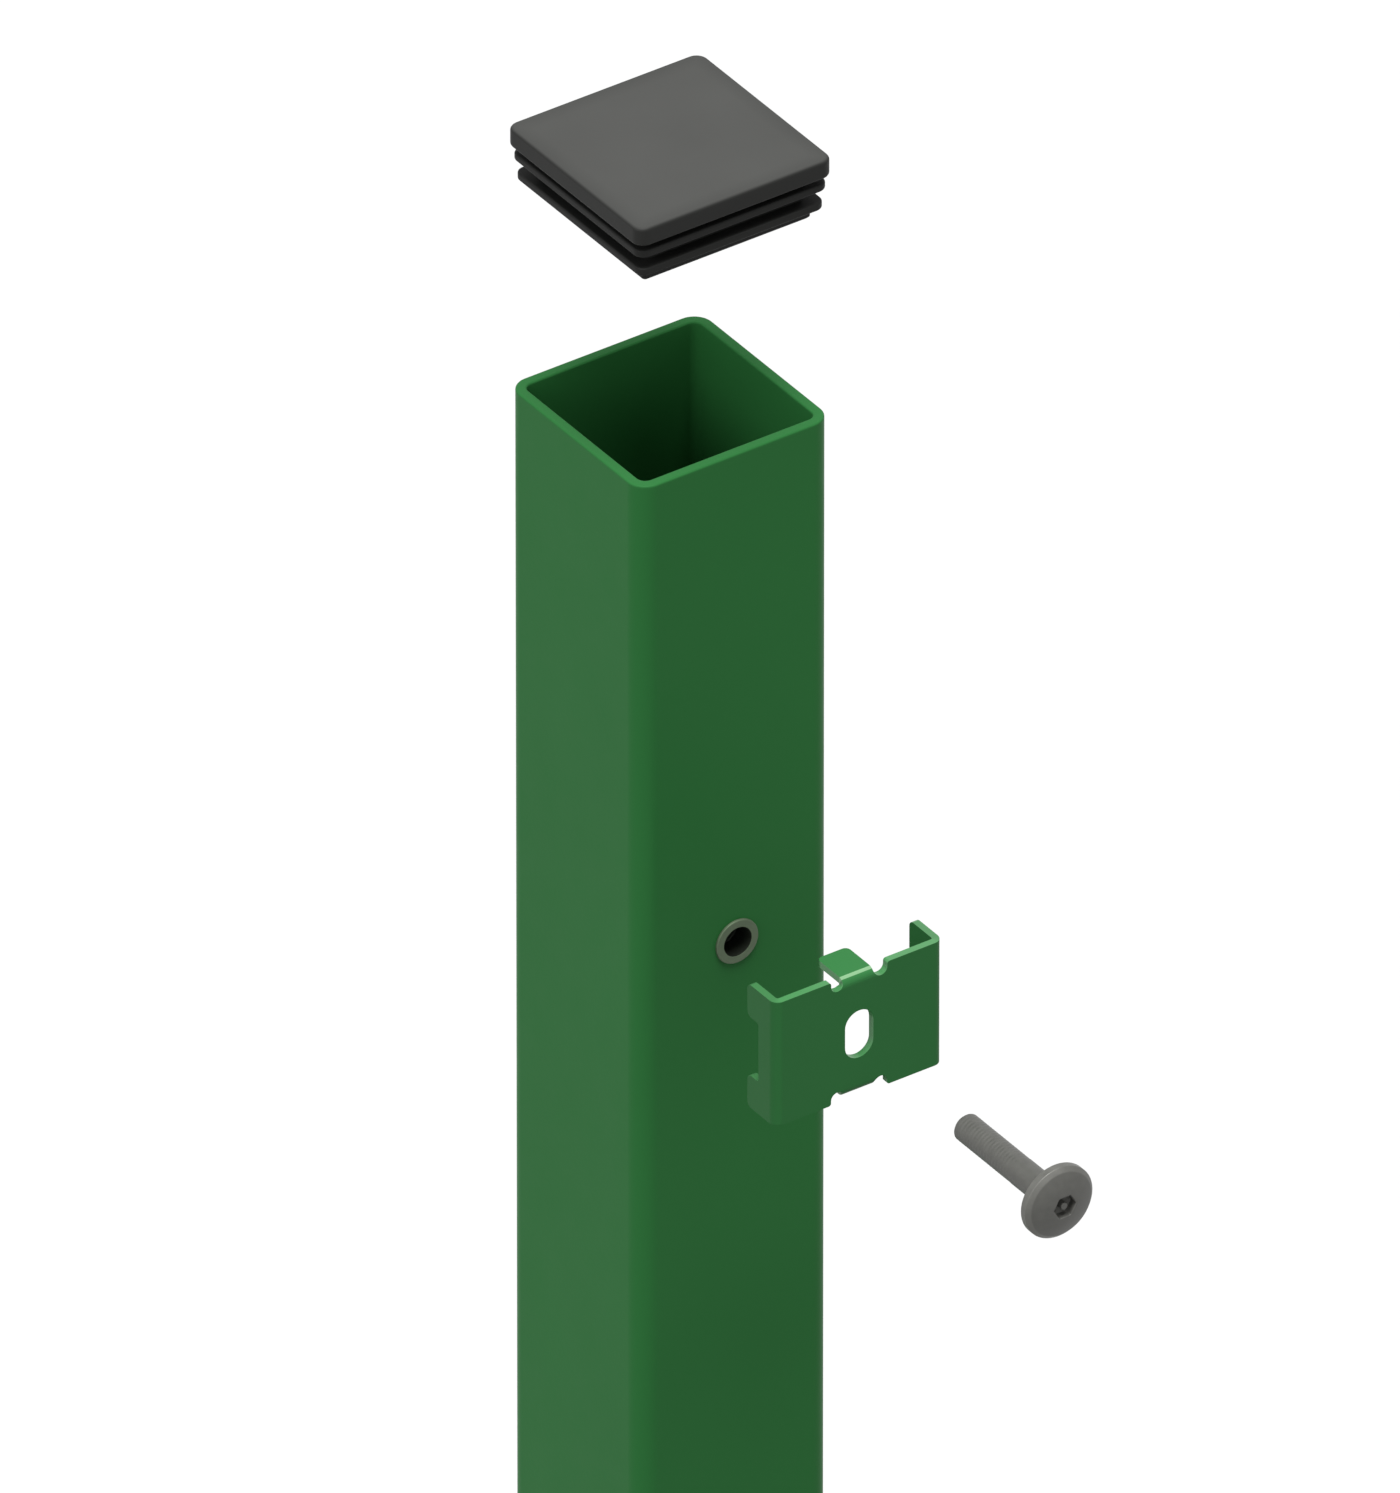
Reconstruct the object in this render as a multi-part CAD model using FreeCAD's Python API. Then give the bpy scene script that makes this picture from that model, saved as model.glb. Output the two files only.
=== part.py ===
import FreeCAD, Part

import math
import os

# Square steel fence post with rivet nuts, a ribbed end cap, a folded fixing clip and its bolt.
# Millimetres. The origin is the centre of the foot's cut end, +Z runs up the post, and the rivet
# nuts open towards -Y. The cap, the clip and the bolt are pulled off along the axes they fit on.

# Post tube
POST_SIDE = 60.0
POST_WALL = 3.0
POST_CORNER_R = 5.5
POST_LENGTH = 1500.0
POST_RIM_CHAMFER = 0.4

# Metric thread of the bolt and the rivet nuts, modelled plain at its pitch diameter
THREAD_D = 8.0
THREAD_PITCH = 1.25
THREAD_CLEARANCE = 0.05
PITCH_DIAMETER_STEP = 3.0 * math.sqrt(3.0) / 8.0

# Rivet nuts, set and crimped
NUT_TOP_DROP = 150.0
NUT_SPACING = 400.0
NUT_NAMES = ("rivet_nut_top", "rivet_nut_middle", "rivet_nut_bottom")
NUT_SHANK_CLEARANCE = 0.3
NUT_SLEEVE_WALL = 1.2
NUT_HOLE_CLEARANCE = 0.05
NUT_FLANGE_D = 13.0
NUT_FLANGE_T = 0.8
NUT_BULB_D = 14.6
NUT_BULB_FOLD_GAP = 0.4
NUT_BULB_CHAMFER = 0.9
NUT_BARREL_LENGTH = 9.5

# End cap
CAP_LIFT = 60.5
CAP_OVERHANG = 0.2
CAP_CORNER_R = 3.2
CAP_FLANGE_T = 5.5
CAP_TOP_CHAMFER = 0.8
CAP_UNDER_CHAMFER = 0.8
CAP_PLUG_DEPTH = 13.5
CAP_SKIN = 2.6
CORE_GAP = 2.2
CORE_CORNER_R = 2.0
CORE_WALL = 2.2
FIN_COUNT = 2
FIN_GRIP = 2.35
FIN_GRIP_STEP = 0.65
FIN_ROOT_T = 2.9
FIN_EDGE_T = 2.0
FIN_TOP_DROP = 1.9
FIN_SPACING = 6.0
FIN_CORNER_R = 2.7
FIN_LEAD = 1.5
FIN_EDGE_CHAMFER = 0.5
GUIDE_CLEARANCE = 1.0
GUIDE_CORNER_R = 0.8
GUIDE_T = 2.0
GUIDE_LEAD = 0.6

# Fixing clip
CLIP_STANDOFF = 55.5
CLIP_RAISE = 2.0
CLIP_WIDTH = 52.5
CLIP_HEIGHT = 38.0
CLIP_DEPTH = 12.5
CLIP_SHEET = 2.0
CLIP_BEND_R = 0.6
SLOT_CLEARANCE = 0.4
SLOT_LENGTH = 14.5
EAR_HEIGHT = 10.0
EAR_REACH = 5.0
EAR_ROUND = 1.8
TAB_WIDTH = 9.5
TAB_DROP = 0.8
TAB_REACH = 12.4
TAB_ROUND = 1.6
RELIEF_WIDTH = 4.0
RELIEF_DEPTH = 3.4

# Clip bolt
BOLT_STANDOFF = 102.9
BOLT_LENGTH = 40.0
BOLT_THREAD_LENGTH = 25.0
BOLT_TIP_CHAMFER = 0.8
HEAD_D = 21.0
HEAD_RIM = 2.1
HEAD_BEVEL = 1.0
HEAD_HEIGHT = 5.3
CROWN_MID_D = 12.6
CROWN_MID_DROP = 0.95
CROWN_FLAT_D = 7.6
SOCKET_FLATS = 6.0
SOCKET_DEPTH = 2.8
SOCKET_PIN_D = 2.0
SOCKET_PIN_HEIGHT = 2.1

# Sizes that follow from the ones above
BORE_SIDE = POST_SIDE - 2.0 * POST_WALL
BORE_CORNER_R = POST_CORNER_R - POST_WALL
THREAD_MEAN_D = THREAD_D - PITCH_DIAMETER_STEP * THREAD_PITCH
NUT_BORE_R = THREAD_D / 2.0 + NUT_SHANK_CLEARANCE
NUT_SLEEVE_R = NUT_BORE_R + NUT_SLEEVE_WALL
NUT_THREAD_R = THREAD_MEAN_D / 2.0 + THREAD_CLEARANCE
NUT_BULB_T = 2.0 * NUT_SLEEVE_WALL + NUT_BULB_FOLD_GAP
FRONT_FACE_Y = -POST_SIDE / 2.0
NUT_AXIS_Z = POST_LENGTH - NUT_TOP_DROP
CLIP_FRONT_Y = FRONT_FACE_Y - CLIP_STANDOFF
CLIP_MID_Z = NUT_AXIS_Z + CLIP_RAISE
TAB_INSET = TAB_DROP + CLIP_SHEET + CLIP_BEND_R

AXIS_X = FreeCAD.Vector(1.0, 0.0, 0.0)
AXIS_Y = FreeCAD.Vector(0.0, 1.0, 0.0)
AXIS_Z = FreeCAD.Vector(0.0, 0.0, 1.0)
SAME = 1e-6
DIAGONAL = math.sqrt(0.5)
# How far a cutting tool runs past the face it cuts through
RUN_OUT = 1.0


def rounded_outline(side, corner_r, z):
    """Level square outline on the post's axis, with rounded corners."""
    reach = side / 2.0 - corner_r
    corners = [
        FreeCAD.Vector(x, y, z)
        for x, y in ((-reach, -reach), (reach, -reach), (reach, reach), (-reach, reach))
    ]
    return Part.makePolygon(corners + corners[:1]).makeOffset2D(corner_r)


def rounded_block(side, corner_r, height, base_z):
    """Upright square block on the post's axis, with rounded upright edges."""
    return Part.Face(rounded_outline(side, corner_r, base_z)).extrude(AXIS_Z * height)


def edges_at_height(shape, z):
    """Edges that lie wholly in the level plane at height z."""
    return [
        edge
        for edge in shape.Edges
        if abs(edge.BoundBox.ZMin - z) < SAME and abs(edge.BoundBox.ZMax - z) < SAME
    ]


def edges_along(shape, axis):
    """Straight edges that run along one of the three axes."""
    return [
        edge
        for edge in shape.Edges
        if edge.Curve.TypeId == "Part::GeomLine"
        and abs(abs(edge.Curve.Direction.dot(axis)) - 1.0) < SAME
    ]


def extruded(points, direction):
    """Prism on a closed outline of corner points."""
    outline = Part.makePolygon(points + points[:1])
    return Part.Face(outline).extrude(direction)


def turned(edges, centre):
    """Solid of revolution about the line through centre along Y."""
    face = Part.Face(Part.Wire(Part.__sortEdges__(edges)))
    return face.revolve(centre, AXIS_Y, 360.0)


def chain(points):
    """Straight edges from each point to the next."""
    return [Part.makeLine(start, end) for start, end in zip(points, points[1:])]


def nut_heights():
    """Heights of the rivet nuts' axes, from the top one down."""
    return [NUT_AXIS_Z - index * NUT_SPACING for index in range(len(NUT_NAMES))]


def post_tube():
    """Square tube with rounded corners, open at both ends, with one hole for each rivet nut."""
    outer = rounded_block(POST_SIDE, POST_CORNER_R, POST_LENGTH, 0.0)
    bore = rounded_block(BORE_SIDE, BORE_CORNER_R, POST_LENGTH + 2.0 * RUN_OUT, -RUN_OUT)
    tube = outer.cut(bore)
    rims = edges_at_height(tube, 0.0) + edges_at_height(tube, POST_LENGTH)
    tube = tube.makeChamfer(POST_RIM_CHAMFER, rims)
    for z in nut_heights():
        start = FreeCAD.Vector(0.0, FRONT_FACE_Y - RUN_OUT, z)
        hole_r = NUT_SLEEVE_R + NUT_HOLE_CLEARANCE
        tube = tube.cut(Part.makeCylinder(hole_r, POST_WALL + 2.0 * RUN_OUT, start, AXIS_Y))
    return tube


def rivet_nut(z):
    """Crimped rivet nut: flange on the face, sleeve in the wall, bulb behind it, tapped barrel."""

    def at(radius, depth):
        """Point of the half section: radius from the axis, depth behind the post's face."""
        return FreeCAD.Vector(radius, FRONT_FACE_Y + depth, z)

    flange_r = NUT_FLANGE_D / 2.0
    bulb_r = NUT_BULB_D / 2.0
    bulb_back = POST_WALL + NUT_BULB_T
    barrel_back = bulb_back + NUT_BARREL_LENGTH

    half_section = chain([
        at(NUT_BORE_R, -NUT_FLANGE_T),
        at(flange_r, -NUT_FLANGE_T),
        at(flange_r, 0.0),
        at(NUT_SLEEVE_R, 0.0),
        at(NUT_SLEEVE_R, POST_WALL),
        at(bulb_r - NUT_BULB_CHAMFER, POST_WALL),
        at(bulb_r, POST_WALL + NUT_BULB_CHAMFER),
        at(bulb_r - NUT_BULB_CHAMFER, bulb_back),
        at(NUT_SLEEVE_R, bulb_back),
        at(NUT_SLEEVE_R, barrel_back),
        at(NUT_THREAD_R, barrel_back),
        at(NUT_THREAD_R, bulb_back),
        at(NUT_BORE_R, bulb_back),
        at(NUT_BORE_R, -NUT_FLANGE_T),
    ])
    return turned(half_section, at(0.0, 0.0))


def cap_fin(index, flange_under_z):
    """Flexible fin round the plug, wider than the bore when free, and sloped underneath."""
    side = BORE_SIDE + 2.0 * (FIN_GRIP - index * FIN_GRIP_STEP)
    top_z = flange_under_z - FIN_TOP_DROP - index * FIN_SPACING
    edge_z = top_z - FIN_EDGE_T
    root = rounded_outline(side - 2.0 * FIN_LEAD, FIN_CORNER_R - FIN_LEAD, top_z - FIN_ROOT_T)
    edge = rounded_outline(side, FIN_CORNER_R, edge_z)
    slope = Part.makeLoft([root, edge], True)
    land = rounded_block(side, FIN_CORNER_R, FIN_EDGE_T, edge_z)
    fin = slope.fuse(land)
    return fin.makeChamfer(FIN_EDGE_CHAMFER, edges_at_height(fin, top_z))


def end_cap():
    """Moulded insert: soft-edged flange over a hollow plug with fins and a guide land."""
    plug_z = POST_LENGTH + CAP_LIFT
    flange_under_z = plug_z + CAP_PLUG_DEPTH
    top_z = flange_under_z + CAP_FLANGE_T

    flange_side = POST_SIDE + 2.0 * CAP_OVERHANG
    flange = rounded_block(flange_side, CAP_CORNER_R, CAP_FLANGE_T, flange_under_z)
    flange = flange.makeChamfer(CAP_TOP_CHAMFER, edges_at_height(flange, top_z))
    flange = flange.makeChamfer(CAP_UNDER_CHAMFER, edges_at_height(flange, flange_under_z))

    core_side = BORE_SIDE - 2.0 * CORE_GAP
    core = rounded_block(core_side, CORE_CORNER_R, CAP_PLUG_DEPTH + CAP_SKIN, plug_z)

    guide_side = BORE_SIDE - 2.0 * GUIDE_CLEARANCE
    guide = rounded_block(guide_side, GUIDE_CORNER_R, GUIDE_T, plug_z)
    guide = guide.makeChamfer(GUIDE_LEAD, edges_at_height(guide, plug_z))

    fins = [cap_fin(index, flange_under_z) for index in range(FIN_COUNT)]
    body = flange.fuse([core, guide] + fins)

    hollow_side = core_side - 2.0 * CORE_WALL
    hollow_height = top_z - CAP_SKIN - plug_z + RUN_OUT
    hollow = rounded_block(hollow_side, CORE_CORNER_R, hollow_height, plug_z - RUN_OUT)
    return body.cut(hollow).removeSplitter()


def clip_channel():
    """Plate with a flange bent back at each side, as one bent sheet, before it is cut to shape."""
    half = CLIP_WIDTH / 2.0
    back_y = CLIP_FRONT_Y + CLIP_DEPTH
    inner_front_y = CLIP_FRONT_Y + CLIP_SHEET
    low_z = CLIP_MID_Z - CLIP_HEIGHT / 2.0
    outer = Part.makeBox(
        CLIP_WIDTH, CLIP_DEPTH, CLIP_HEIGHT, FreeCAD.Vector(-half, CLIP_FRONT_Y, low_z)
    )
    front = [edge for edge in edges_along(outer, AXIS_Z) if edge.BoundBox.YMax < back_y - SAME]
    outer = outer.makeFillet(CLIP_BEND_R + CLIP_SHEET, front)
    inner = Part.makeBox(
        CLIP_WIDTH - 2.0 * CLIP_SHEET,
        CLIP_DEPTH,
        CLIP_HEIGHT + 2.0 * RUN_OUT,
        FreeCAD.Vector(-half + CLIP_SHEET, inner_front_y, low_z - RUN_OUT),
    )
    corner = [
        edge
        for edge in edges_along(inner, AXIS_Z)
        if edge.BoundBox.YMax < inner_front_y + SAME
    ]
    return outer.cut(inner.makeFillet(CLIP_BEND_R, corner))


def rounded_window(y_size, z_size, corner, round_r):
    """Cutter across the whole clip width, with its edges along X rounded."""
    window = Part.makeBox(CLIP_WIDTH + 2.0 * RUN_OUT, y_size, z_size, corner)
    return window.makeFillet(round_r, edges_along(window, AXIS_X))


def clip_ears(channel):
    """The channel with its flanges cut back in the middle and its ears' corners rounded."""
    back_y = CLIP_FRONT_Y + CLIP_DEPTH
    gap_height = CLIP_HEIGHT - 2.0 * EAR_HEIGHT
    corner = FreeCAD.Vector(
        -CLIP_WIDTH / 2.0 - RUN_OUT, back_y - EAR_REACH, CLIP_MID_Z - gap_height / 2.0
    )
    window = rounded_window(EAR_REACH + 2.0 * EAR_ROUND, gap_height, corner, EAR_ROUND / 2.0)
    eared = channel.cut(window)
    tips = [edge for edge in edges_along(eared, AXIS_X) if edge.BoundBox.YMin > back_y - SAME]
    return eared.makeFillet(EAR_ROUND, tips)


def clip_tab(side):
    """Tab bent back from the plate's top (side 1) or bottom (side -1) edge."""

    def at(depth, inset):
        """Point of the section: depth behind the plate's front, inset from the plate's edge."""
        plate_z = CLIP_MID_Z + side * CLIP_HEIGHT / 2.0
        return FreeCAD.Vector(-TAB_WIDTH / 2.0, CLIP_FRONT_Y + depth, plate_z - side * inset)

    under = TAB_DROP + CLIP_SHEET
    root = TAB_INSET + RELIEF_DEPTH
    outer_r = CLIP_BEND_R + CLIP_SHEET
    outer_bend = Part.Arc(
        at(0.0, TAB_INSET),
        at(outer_r * (1.0 - DIAGONAL), TAB_DROP + outer_r * (1.0 - DIAGONAL)),
        at(outer_r, TAB_DROP),
    ).toShape()
    inner_bend = Part.Arc(
        at(outer_r, under),
        at(outer_r - CLIP_BEND_R * DIAGONAL, TAB_INSET - CLIP_BEND_R * DIAGONAL),
        at(CLIP_SHEET, TAB_INSET),
    ).toShape()
    tip = chain([
        at(outer_r, TAB_DROP),
        at(TAB_REACH, TAB_DROP),
        at(TAB_REACH, under),
        at(outer_r, under),
    ])
    leg = chain([
        at(CLIP_SHEET, TAB_INSET),
        at(CLIP_SHEET, root),
        at(0.0, root),
        at(0.0, TAB_INSET),
    ])
    outline = Part.Wire(Part.__sortEdges__([outer_bend, inner_bend] + tip + leg))
    section = Part.Face(outline)
    tab = section.extrude(AXIS_X * TAB_WIDTH)
    tips = [
        edge
        for edge in edges_along(tab, AXIS_Z)
        if edge.BoundBox.YMin > CLIP_FRONT_Y + TAB_REACH - SAME
    ]
    return tab.makeFillet(TAB_ROUND, tips)


def tab_clearing(side):
    """Cutter that frees a tab: the tab's own width, and a round-ended relief at each side."""
    relief_r = RELIEF_WIDTH / 2.0
    straight = RELIEF_DEPTH - relief_r
    plate_z = CLIP_MID_Z + side * CLIP_HEIGHT / 2.0
    start_y = CLIP_FRONT_Y - RUN_OUT
    depth = CLIP_SHEET + 2.0 * RUN_OUT

    def strip(left, width, inset):
        """Block from the plate's edge inwards."""
        low_z = plate_z - inset if side > 0 else plate_z - RUN_OUT
        return Part.makeBox(width, depth, inset + RUN_OUT, FreeCAD.Vector(left, start_y, low_z))

    cutter = strip(-TAB_WIDTH / 2.0, TAB_WIDTH, TAB_INSET)
    for hand in (1, -1):
        centre_x = hand * (TAB_WIDTH + RELIEF_WIDTH) / 2.0
        root = FreeCAD.Vector(centre_x, start_y, plate_z - side * straight)
        cutter = cutter.fuse([
            strip(centre_x - relief_r, RELIEF_WIDTH, straight),
            Part.makeCylinder(relief_r, depth, root, AXIS_Y),
        ])
    return cutter


def fixing_clip():
    """Folded sheet clip: slotted plate, side flanges with ears, tabs at the top and the bottom."""
    clip = clip_ears(clip_channel())
    for side in (1, -1):
        clip = clip.cut(tab_clearing(side)).fuse(clip_tab(side))

    slot_r = THREAD_D / 2.0 + SLOT_CLEARANCE
    slot_start_y = CLIP_FRONT_Y - RUN_OUT
    slot_depth = CLIP_SHEET + 2.0 * RUN_OUT
    straight = SLOT_LENGTH - 2.0 * slot_r
    low_z = CLIP_MID_Z - straight / 2.0
    slot = Part.makeBox(
        2.0 * slot_r, slot_depth, straight, FreeCAD.Vector(-slot_r, slot_start_y, low_z)
    )
    for end_z in (low_z, low_z + straight):
        start = FreeCAD.Vector(0.0, slot_start_y, end_z)
        slot = slot.fuse(Part.makeCylinder(slot_r, slot_depth, start, AXIS_Y))
    return clip.cut(slot).removeSplitter()


def clip_bolt():
    """Bolt with a bevelled, gently crowned head, and a hexagon socket with a pin in its middle."""
    tip_y = FRONT_FACE_Y - BOLT_STANDOFF

    def at(radius, length):
        """Point of the half section: radius from the axis, length in front of the bolt's tip."""
        return FreeCAD.Vector(radius, tip_y - length, NUT_AXIS_Z)

    shank_r = THREAD_D / 2.0
    thread_r = THREAD_MEAN_D / 2.0
    head_r = HEAD_D / 2.0
    apex = BOLT_LENGTH + HEAD_HEIGHT

    half_section = chain([
        at(0.0, 0.0),
        at(thread_r - BOLT_TIP_CHAMFER, 0.0),
        at(thread_r, BOLT_TIP_CHAMFER),
        at(thread_r, BOLT_THREAD_LENGTH),
        at(shank_r, BOLT_THREAD_LENGTH + shank_r - thread_r),
        at(shank_r, BOLT_LENGTH),
        at(head_r, BOLT_LENGTH),
        at(head_r, BOLT_LENGTH + HEAD_RIM),
        at(head_r - HEAD_BEVEL, BOLT_LENGTH + HEAD_RIM + HEAD_BEVEL),
        at(CROWN_MID_D / 2.0, apex - CROWN_MID_DROP),
        at(CROWN_FLAT_D / 2.0, apex),
        at(0.0, apex),
        at(0.0, 0.0),
    ])
    bolt = turned(half_section, at(0.0, 0.0))

    socket_floor = apex - SOCKET_DEPTH
    corner_r = SOCKET_FLATS / math.sqrt(3.0)
    outline = [
        at(0.0, socket_floor)
        + AXIS_X * (corner_r * math.cos(math.radians(60.0 * turn)))
        + AXIS_Z * (corner_r * math.sin(math.radians(60.0 * turn)))
        for turn in range(6)
    ]
    socket = extruded(outline, AXIS_Y * -(SOCKET_DEPTH + RUN_OUT))
    pin_start = at(0.0, socket_floor - RUN_OUT)
    pin = Part.makeCylinder(SOCKET_PIN_D / 2.0, SOCKET_PIN_HEIGHT + RUN_OUT, pin_start, -AXIS_Y)
    return bolt.cut(socket).fuse(pin).removeSplitter()


def main():
    """Build every piece and write one file for each."""
    pieces = {"post_tube": post_tube()}
    for name, z in zip(NUT_NAMES, nut_heights()):
        pieces[name] = rivet_nut(z)
    pieces["end_cap"] = end_cap()
    pieces["fixing_clip"] = fixing_clip()
    pieces["clip_bolt"] = clip_bolt()

    os.makedirs("parts", exist_ok=True)
    for name, shape in pieces.items():
        shape.exportStep(f"parts/{name}.step")
        print(name, shape.isValid(), len(shape.Solids), round(shape.Volume, 1))


main()
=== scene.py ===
import logging
import math
from collections.abc import Sequence
from dataclasses import dataclass
from enum import Enum

import bmesh
import bpy
import numpy as np
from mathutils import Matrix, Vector


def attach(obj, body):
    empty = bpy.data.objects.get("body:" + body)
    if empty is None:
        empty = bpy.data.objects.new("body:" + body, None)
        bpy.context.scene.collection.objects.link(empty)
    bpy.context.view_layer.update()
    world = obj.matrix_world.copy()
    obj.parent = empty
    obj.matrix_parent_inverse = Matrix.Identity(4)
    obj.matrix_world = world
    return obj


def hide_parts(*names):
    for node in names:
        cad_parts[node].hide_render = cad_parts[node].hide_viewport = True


# Square fence post with its end cap, fixing clip and bolt pulled off along the axes they fit on.
# Sizes are in millimetres and become metres in add_piece. The origin is the centre of the foot,
# +Z runs up the post and the rivet nuts open towards -Y, as in the imported frame. Names that end
# in _y or _z are places, in _r radii, in _round radii of edges, in _t thicknesses, in _steps
# numbers of faces, and in _shade painted shade, as shares of the finish's own colour.

log = logging.getLogger("fence_post")
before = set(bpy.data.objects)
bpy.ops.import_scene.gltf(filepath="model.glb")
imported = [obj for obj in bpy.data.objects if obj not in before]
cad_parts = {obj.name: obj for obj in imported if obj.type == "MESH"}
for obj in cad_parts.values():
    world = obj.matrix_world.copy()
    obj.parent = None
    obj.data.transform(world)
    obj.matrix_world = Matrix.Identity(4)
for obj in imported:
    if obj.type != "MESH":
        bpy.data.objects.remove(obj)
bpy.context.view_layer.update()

MM = 0.001
WELD_MM = 1e-4
CUT_SNAP_MM = 0.02
MERGE_MM = 0.01
ROOT = "root"
SHADE = "shade"
COLOUR_MIX = {"data_type": "RGBA", "clamp_factor": True}
Array = np.ndarray
Faces = list[list[int]]
Triple = tuple[float, float, float]
Colour = Triple
Key = str | int
Settings = dict[str, object] | None
Sockets = dict[Key, object] | None


class Slot(Enum):
    """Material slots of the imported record."""

    POST = "green_powder_coat"
    CLIP = "clip_powder_coat"
    NUT = "zinc_plate"
    BOLT = "bolt_zinc"
    CAP = "black_plastic"


# Shader expressions


@dataclass(frozen=True)
class Layer:
    """Smooth noise that moves a value up and down."""

    size_mm: float  # rough distance from one light patch to the next
    detail: float  # finer layers on top
    swing: float  # how far the value moves from the darkest patch to the lightest
    stretch: Triple = (1.0, 1.0, 1.0)  # factor on each axis; under 1 draws the patches out along it


@dataclass(frozen=True)
class Wire:
    """An output socket that takes part in arithmetic; each operator adds one Math node."""

    tree: "ShaderTree"  # that the socket belongs to
    socket: bpy.types.NodeSocket

    def _math(self, operation: str, first: "Wire | float", second: "Wire | float") -> "Wire":
        """Return first and second put through a Math node with the given operation."""
        return self.tree.wire("ShaderNodeMath", {"operation": operation}, {0: first, 1: second})

    def __add__(self, other: "Wire | float") -> "Wire":
        """Return self + other."""
        return self._math("ADD", self, other)

    def __radd__(self, other: float) -> "Wire":
        """Return other + self."""
        return self._math("ADD", other, self)

    def __sub__(self, other: "Wire | float") -> "Wire":
        """Return self - other."""
        return self._math("SUBTRACT", self, other)

    def __rsub__(self, other: float) -> "Wire":
        """Return other - self."""
        return self._math("SUBTRACT", other, self)

    def __mul__(self, other: "Wire | float") -> "Wire":
        """Return self * other."""
        return self._math("MULTIPLY", self, other)

    def __rmul__(self, other: float) -> "Wire":
        """Return other * self."""
        return self._math("MULTIPLY", other, self)

    def at_most(self, other: "Wire | float") -> "Wire":
        """Return the smaller of self and other."""
        return self._math("MINIMUM", self, other)


class ShaderTree:
    """Node tree of a material or a world, emptied and ready to be filled."""

    def __init__(self, owner: bpy.types.Material | bpy.types.World) -> None:
        """Empty the owner's node tree.

        Args:
            owner: The material or world to give nodes to.
        """
        owner.use_nodes = True
        self.owner = owner
        self.nodes = owner.node_tree.nodes
        self.links = owner.node_tree.links
        self.nodes.clear()

    def node(self, kind: str, settings: Settings = None, sockets: Sockets = None) -> bpy.types.Node:
        """Add a node.

        Args:
            kind: The node's type name.
            settings: Properties to set before the sockets, such as a Math node's operation.
            sockets: Values or wires for its input sockets, by name or number.

        Returns:
            The new node.
        """
        made = self.nodes.new(kind)
        for name, value in (settings or {}).items():
            setattr(made, name, value)
        for key, value in (sockets or {}).items():
            if isinstance(value, Wire):
                self.links.new(value.socket, made.inputs[key])
            else:
                made.inputs[key].default_value = value
        return made

    def wire(self, kind: str, settings: Settings = None, sockets: Sockets = None, output: Key = 0) -> Wire:
        """Add a node and return one of its outputs as a wire.

        Args:
            kind: The node's type name.
            settings: Properties to set before the sockets.
            sockets: Values or wires for its input sockets.
            output: Name or number of the output to return.

        Returns:
            The wire of that output.
        """
        return Wire(self, self.node(kind, settings, sockets).outputs[output])

    def noise(self, layer: Layer) -> Wire:
        """Add a layer's noise on Object coordinates.

        Args:
            layer: Size, detail and stretch of the noise.

        Returns:
            The noise, from 0 to 1 with a mean of a half.
        """
        place = self.wire("ShaderNodeTexCoord", output="Object")
        place = self.wire("ShaderNodeMapping", sockets={"Vector": place, "Scale": layer.stretch})
        scale = 1.0 / (layer.size_mm * MM)
        sockets = {"Vector": place, "Scale": scale, "Detail": layer.detail, "Roughness": 0.5}
        return self.wire("ShaderNodeTexNoise", None, sockets, "Fac")

    def between(self, factor: Wire, low: Colour, high: Colour) -> Wire:
        """Return the colour from low to high that factor picks."""
        return self.wire("ShaderNodeMix", COLOUR_MIX, {0: factor, 6: (*low, 1.0), 7: (*high, 1.0)}, 2)

    def shaded(self, colour: Wire) -> Wire:
        """Return a colour darkened by painted shade, to the share that the mesh's own shade attribute gives.
        """
        shade = self.wire("ShaderNodeAttribute", {"attribute_name": SHADE}, output="Fac")
        return self.wire("ShaderNodeMix", COLOUR_MIX, {0: shade, 6: (0.0, 0.0, 0.0, 1.0), 7: colour}, 2)

    def bumps(self, height: Wire, depth_mm: float) -> Wire:
        """Return a normal tilted by height, which spans depth_mm from 0 to 1."""
        sockets = {"Height": height, "Distance": depth_mm * MM, "Strength": 1.0}
        return self.wire("ShaderNodeBump", None, sockets, "Normal")

    def seen_plainly(self) -> Wire:
        """Return 1 for rays from the camera, a mirroring surface or a clear one, 0 for others."""
        path = self.node("ShaderNodeLightPath")
        kinds = ("Is Camera Ray", "Is Glossy Ray", "Is Transmission Ray")
        camera, glossy, through = (Wire(self, path.outputs[kind]) for kind in kinds)
        return (camera + glossy + through).at_most(1.0)

    def finish(self, surface: Wire) -> None:
        """Send a shader to the tree's surface output."""
        owner_kind = "World" if isinstance(self.owner, bpy.types.World) else "Material"
        self.node(f"ShaderNodeOutput{owner_kind}", None, {"Surface": surface})


# Finishes


def scaled(colour: Colour, factor: float) -> Colour:
    """Return a colour with each part times factor."""
    return (colour[0] * factor, colour[1] * factor, colour[2] * factor)


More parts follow.
